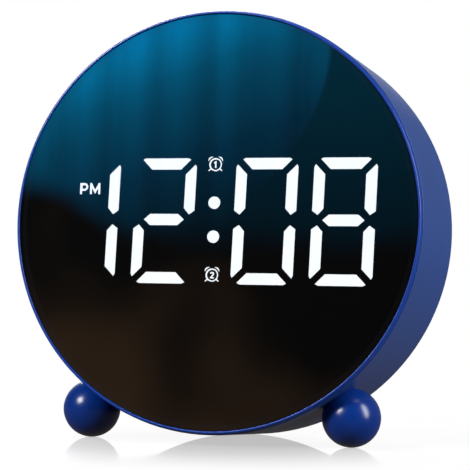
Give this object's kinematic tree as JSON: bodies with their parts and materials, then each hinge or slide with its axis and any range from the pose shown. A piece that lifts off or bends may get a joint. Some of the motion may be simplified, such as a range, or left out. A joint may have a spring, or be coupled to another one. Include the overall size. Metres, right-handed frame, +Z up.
{
  "type": "digital alarm clock",
  "caption": "Round mirror-faced digital alarm clock: short blue drum leaning back on ball feet, white lit figures behind a dark half-mirror lens",
  "frame": {"origin": "centre of the clock's bounding box, on the plane that its feet and lower rear edge stand on", "axes": "+Z up, -Y out of the clock face towards the reader, +X to the right of the figures as read"},
  "size_m": [0.16, 0.0678, 0.1632],
  "materials": {
    "rim_blue": "glossy moulded blue plastic",
    "case_blue": "satin moulded blue plastic",
    "foot_blue": "glossy moulded deep blue plastic",
    "cover_blue": "finely textured blue plastic",
    "mirror_lens": "half-mirrored clear plastic sheet",
    "black_foam": "black foam tape",
    "black_mask": "matt black printed sheet",
    "black_reflector": "matt black moulded plastic",
    "lit_segment": "milky light-guiding resin, lit white",
    "unlit_segment": "milky resin, unlit behind the mirror",
    "circuit_board": "green solder resist on fibreglass",
    "led_package": "small white diode package",
    "connector_plastic": "ivory nylon",
    "ribbon_cable": "grey ribbon insulation",
    "wire_red": "red wire insulation",
    "black_plastic": "matt black plastic",
    "capacitor_sleeve": "dark shrink sleeve",
    "nickel_steel": "nickel-plated steel",
    "screw_steel": "dark zinc-plated steel",
    "magnet_iron": "grey sintered magnet",
    "speaker_paper": "black paper cone",
    "button_black": "soft matt black cap",
    "plunger_white": "white switch plunger"
  },
  "bodies": {
    "housing": {"alarm_1_icon": "lit_segment", "alarm_2_icon": "lit_segment", "ball_foot_left": "foot_blue", "ball_foot_right": "foot_blue", "button_switches": "black_plastic", "capacitor": "capacitor_sleeve", "clock_chip": "black_plastic", "coin_cell": "nickel_steel", "colon_dots": "lit_segment", "crystal": "nickel_steel", "display_board": "circuit_board", "display_board_screws": "screw_steel", "display_connector": "connector_plastic", "display_leds": "led_package", "display_mask": "black_mask", "display_ribbon": "ribbon_cable", "drum_shell": "case_blue", "foot_screws": "screw_steel", "front_bezel": "rim_blue", "hour_tens_segments": "lit_segment", "hour_units_segments": "lit_segment", "inlet_tongue": "black_plastic", "lens_tape": "black_foam", "light_reflector": "black_reflector", "main_board": "circuit_board", "main_board_screws": "screw_steel", "main_connector": "connector_plastic", "minute_tens_segments": "lit_segment", "minute_units_segments": "lit_segment", "mirror_lens": "mirror_lens", "negative_contact": "nickel_steel", "pm_letters": "lit_segment", "positive_contact": "nickel_steel", "power_inlet": "nickel_steel", "rear_cover": "cover_blue", "rear_cover_screws": "screw_steel", "snooze_board": "circuit_board", "snooze_board_screws": "screw_steel", "snooze_switch": "black_plastic", "snooze_wires": "wire_red", "speaker_cone": "speaker_paper", "speaker_frame": "nickel_steel", "speaker_magnet": "magnet_iron", "speaker_wires": "wire_red", "unlit_segments": "unlit_segment"},
    "set_press_body": {"set_button": "button_black", "set_plunger": "plunger_white"},
    "alarm_press_body": {"alarm_button": "button_black", "alarm_plunger": "plunger_white"},
    "up_press_body": {"up_button": "button_black", "up_plunger": "plunger_white"},
    "down_press_body": {"down_button": "button_black", "down_plunger": "plunger_white"},
    "dimmer_press_body": {"dimmer_button": "button_black", "dimmer_plunger": "plunger_white"},
    "snooze_press_body": {"snooze_button": "case_blue", "snooze_plunger": "plunger_white"},
    "battery_door_body": {"battery_door": "cover_blue", "battery_door_screw": "screw_steel"}
  },
  "joints": [
    {"name": "set_press", "type": "slide", "parent": "housing", "child": "set_press_body", "axis": [0, -0.9976, 0.0696], "range_m": [0, 0.0006], "stiffness_N_per_m": 1200},
    {"name": "alarm_press", "type": "slide", "parent": "housing", "child": "alarm_press_body", "axis": [0, -0.9976, 0.0696], "range_m": [0, 0.0006], "stiffness_N_per_m": 1200},
    {"name": "up_press", "type": "slide", "parent": "housing", "child": "up_press_body", "axis": [0, -0.9976, 0.0696], "range_m": [0, 0.0006], "stiffness_N_per_m": 1200},
    {"name": "down_press", "type": "slide", "parent": "housing", "child": "down_press_body", "axis": [0, -0.9976, 0.0696], "range_m": [0, 0.0006], "stiffness_N_per_m": 1200},
    {"name": "dimmer_press", "type": "slide", "parent": "housing", "child": "dimmer_press_body", "axis": [0, -0.9976, 0.0696], "range_m": [0, 0.0006], "stiffness_N_per_m": 1200},
    {"name": "snooze_press", "type": "slide", "parent": "housing", "child": "snooze_press_body", "axis": [0, -0.0696, -0.9976], "range_m": [0, 0.0008], "stiffness_N_per_m": 900},
    {"name": "battery_door_lift", "type": "slide", "parent": "housing", "child": "battery_door_body", "axis": [0, 0.9976, -0.0696], "range_m": [0, 0.02]}
  ]
}
